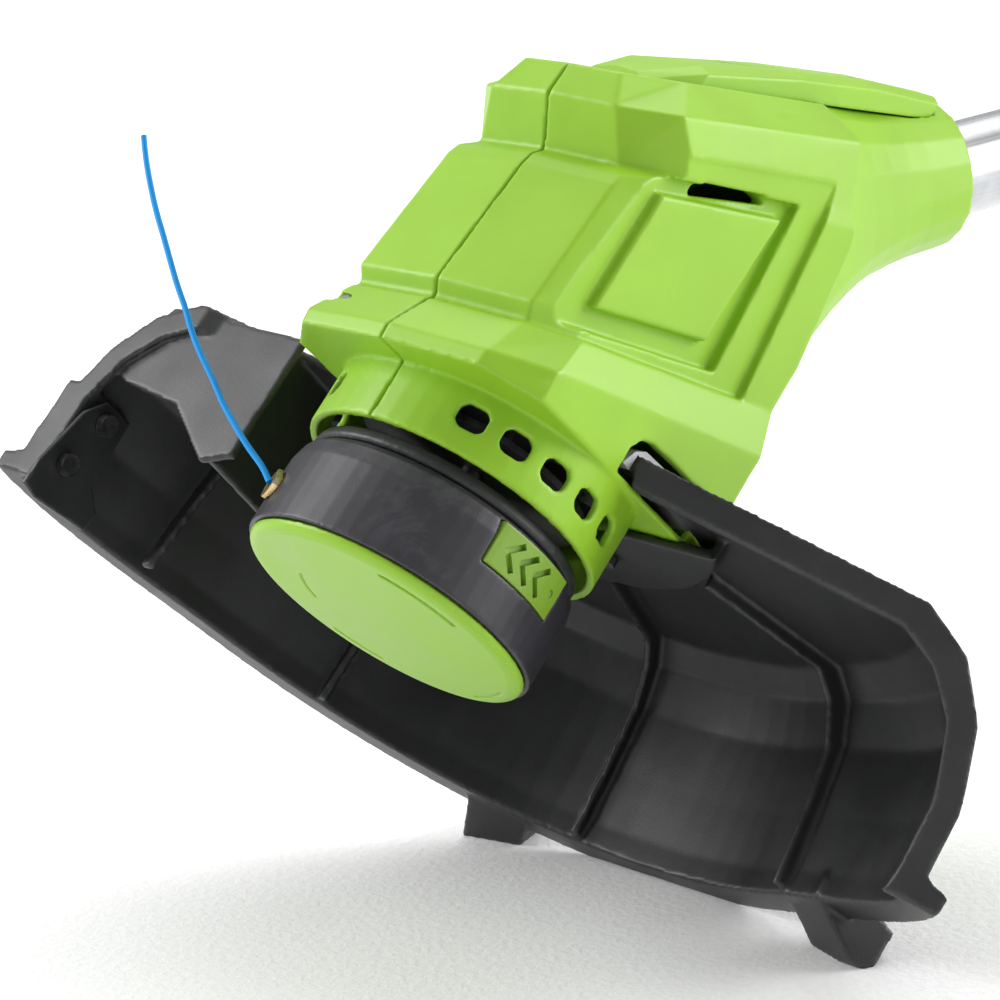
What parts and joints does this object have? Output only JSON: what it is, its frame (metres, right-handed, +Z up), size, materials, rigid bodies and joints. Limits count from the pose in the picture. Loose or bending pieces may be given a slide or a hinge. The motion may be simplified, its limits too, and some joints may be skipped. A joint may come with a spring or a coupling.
{
  "type": "cordless string trimmer",
  "caption": "Cordless string trimmer with tilted motor head, swept guard, free line end, telescoping shaft, front hand loop and rear trigger handle on a slide-off battery.",
  "frame": {"origin": "centre of the bounding box without the free line, on the floor the trimmer lies on", "axes": "+X along the shaft from the cutting head to the rear handle, +Z up from the floor, +Y to the side the line leaves on"},
  "size_m": [1.3858, 0.2686, 0.3246],
  "materials": {
    "lime_plastic": "satin moulded",
    "deep_lime_plastic": "satin moulded",
    "black_plastic": "fine textured",
    "graphite_plastic": "satin",
    "grip_rubber": "soft matte",
    "steel": "plain",
    "dark_steel": "blackened",
    "tube_aluminium": "polished drawn",
    "brass": "plain",
    "blue_nylon": "extruded",
    "grey_plastic": "moulded",
    "copper_end": "lacquered"
  },
  "bodies": {
    "head": {"housing_right": "lime_plastic", "housing_left": "lime_plastic", "housing_screw_1": "dark_steel", "housing_screw_2": "dark_steel", "housing_screw_3": "dark_steel", "housing_screw_4": "dark_steel", "top_cover": "lime_plastic", "motor": "steel", "motor_end_bell": "copper_end", "motor_plate": "grey_plastic", "guard": "black_plastic", "guard_screw_1": "dark_steel", "guard_screw_2": "dark_steel", "line_cutter": "black_plastic", "cutter_screw_1": "dark_steel", "cutter_screw_2": "dark_steel", "slot_plate_1": "grey_plastic", "slot_plate_2": "grey_plastic", "lower_tube": "tube_aluminium", "motor_lead": "black_plastic"},
    "cutting_head": {"spindle": "dark_steel", "cooling_fan": "graphite_plastic", "drive_disc": "black_plastic", "spool_drum": "graphite_plastic", "line_eyelet": "brass", "spool_cap": "lime_plastic", "spool_spring": "steel", "cutting_line": "blue_nylon"},
    "spool": {"line_spool": "black_plastic", "line_winding": "blue_nylon"},
    "latch_1": {"latch_button_1": "deep_lime_plastic"},
    "latch_2": {"latch_button_2": "deep_lime_plastic"},
    "upper": {"upper_tube": "tube_aluminium", "handle_lead": "black_plastic", "clamp_body": "black_plastic", "clamp_pin": "steel", "aux_clamp": "black_plastic", "aux_bolt": "steel", "handle_right": "lime_plastic", "handle_left": "lime_plastic", "handle_screw_1": "dark_steel", "handle_screw_2": "dark_steel", "handle_screw_3": "dark_steel", "handle_screw_4": "dark_steel", "trigger_pin": "steel", "trigger_spring": "steel", "power_switch": "black_plastic", "terminal_block": "grey_plastic"},
    "lever": {"clamp_lever": "lime_plastic"},
    "aux_loop": {"aux_handle": "grip_rubber"},
    "knob": {"aux_knob": "black_plastic"},
    "trigger_body": {"trigger": "black_plastic"},
    "lock_off": {"lock_off_button": "deep_lime_plastic"},
    "battery": {"battery_pack": "black_plastic"},
    "battery_button_1": {"battery_latch_1": "deep_lime_plastic"},
    "battery_button_2": {"battery_latch_2": "deep_lime_plastic"}
  },
  "joints": [
    {"name": "head_spin", "type": "hinge", "parent": "head", "child": "cutting_head", "pos_m": [-0.65183, -0.00306, 0.11338], "axis": [0.7537, -0.0348, 0.6563], "continuous": true, "deforming": ["cutting_line"]},
    {"name": "spool_feed", "type": "hinge", "parent": "cutting_head", "child": "spool", "pos_m": [-0.6556, -0.00289, 0.1101], "axis": [0.7537, -0.0348, 0.6563], "continuous": true},
    {"name": "latch_1_press", "type": "slide", "parent": "cutting_head", "child": "latch_1", "axis": [0.087, 0.9951, -0.0471], "range_m": [0, 0.0025], "stiffness_N_per_m": 800, "springref_m": -0.001},
    {"name": "latch_2_press", "type": "slide", "parent": "cutting_head", "child": "latch_2", "axis": [-0.087, -0.9951, 0.0471], "range_m": [0, 0.0025], "stiffness_N_per_m": 800, "springref_m": -0.001},
    {"name": "shaft_telescope", "type": "slide", "parent": "head", "child": "upper", "axis": [-0.9997, 0, 0.0229], "range_m": [0, 0.12]},
    {"name": "clamp_lever_flip", "type": "hinge", "parent": "upper", "child": "lever", "pos_m": [-0.12022, -0.00774, 0.19182], "axis": [-0.0012, -0.9987, -0.0516], "range_deg": [0, 75]},
    {"name": "aux_tilt", "type": "hinge", "parent": "upper", "child": "aux_loop", "pos_m": [0.18881, -0.008, 0.18973], "axis": [-0.0012, -0.9987, -0.0516], "range_deg": [-25, 35]},
    {"name": "knob_turn", "type": "hinge", "parent": "upper", "child": "knob", "pos_m": [0.18878, -0.03197, 0.18849], "axis": [-0.0012, -0.9987, -0.0516], "continuous": true},
    {"name": "trigger_pull", "type": "hinge", "parent": "upper", "child": "trigger_body", "pos_m": [0.50384, -0.00599, 0.14355], "axis": [-0.0012, -0.9987, -0.0516], "range_deg": [0, 9], "stiffness_Nm_per_rad": 0.8, "springref_deg": -5.73, "deforming": ["trigger_spring"]},
    {"name": "lock_off_press", "type": "slide", "parent": "upper", "child": "lock_off", "axis": [-0.0229, 0.0516, -0.9984], "range_m": [0, 0.0035], "stiffness_N_per_m": 500, "springref_m": -0.001},
    {"name": "battery_slide", "type": "slide", "parent": "upper", "child": "battery", "axis": [0.9997, 0, -0.0229], "range_m": [0, 0.14]},
    {"name": "battery_button_1_press", "type": "slide", "parent": "battery", "child": "battery_button_1", "axis": [0.0012, 0.9987, 0.0516], "range_m": [0, 0.003], "stiffness_N_per_m": 600, "springref_m": -0.001},
    {"name": "battery_button_2_press", "type": "slide", "parent": "battery", "child": "battery_button_2", "axis": [-0.0012, -0.9987, -0.0516], "range_m": [0, 0.003], "stiffness_N_per_m": 600, "springref_m": -0.001}
  ]
}
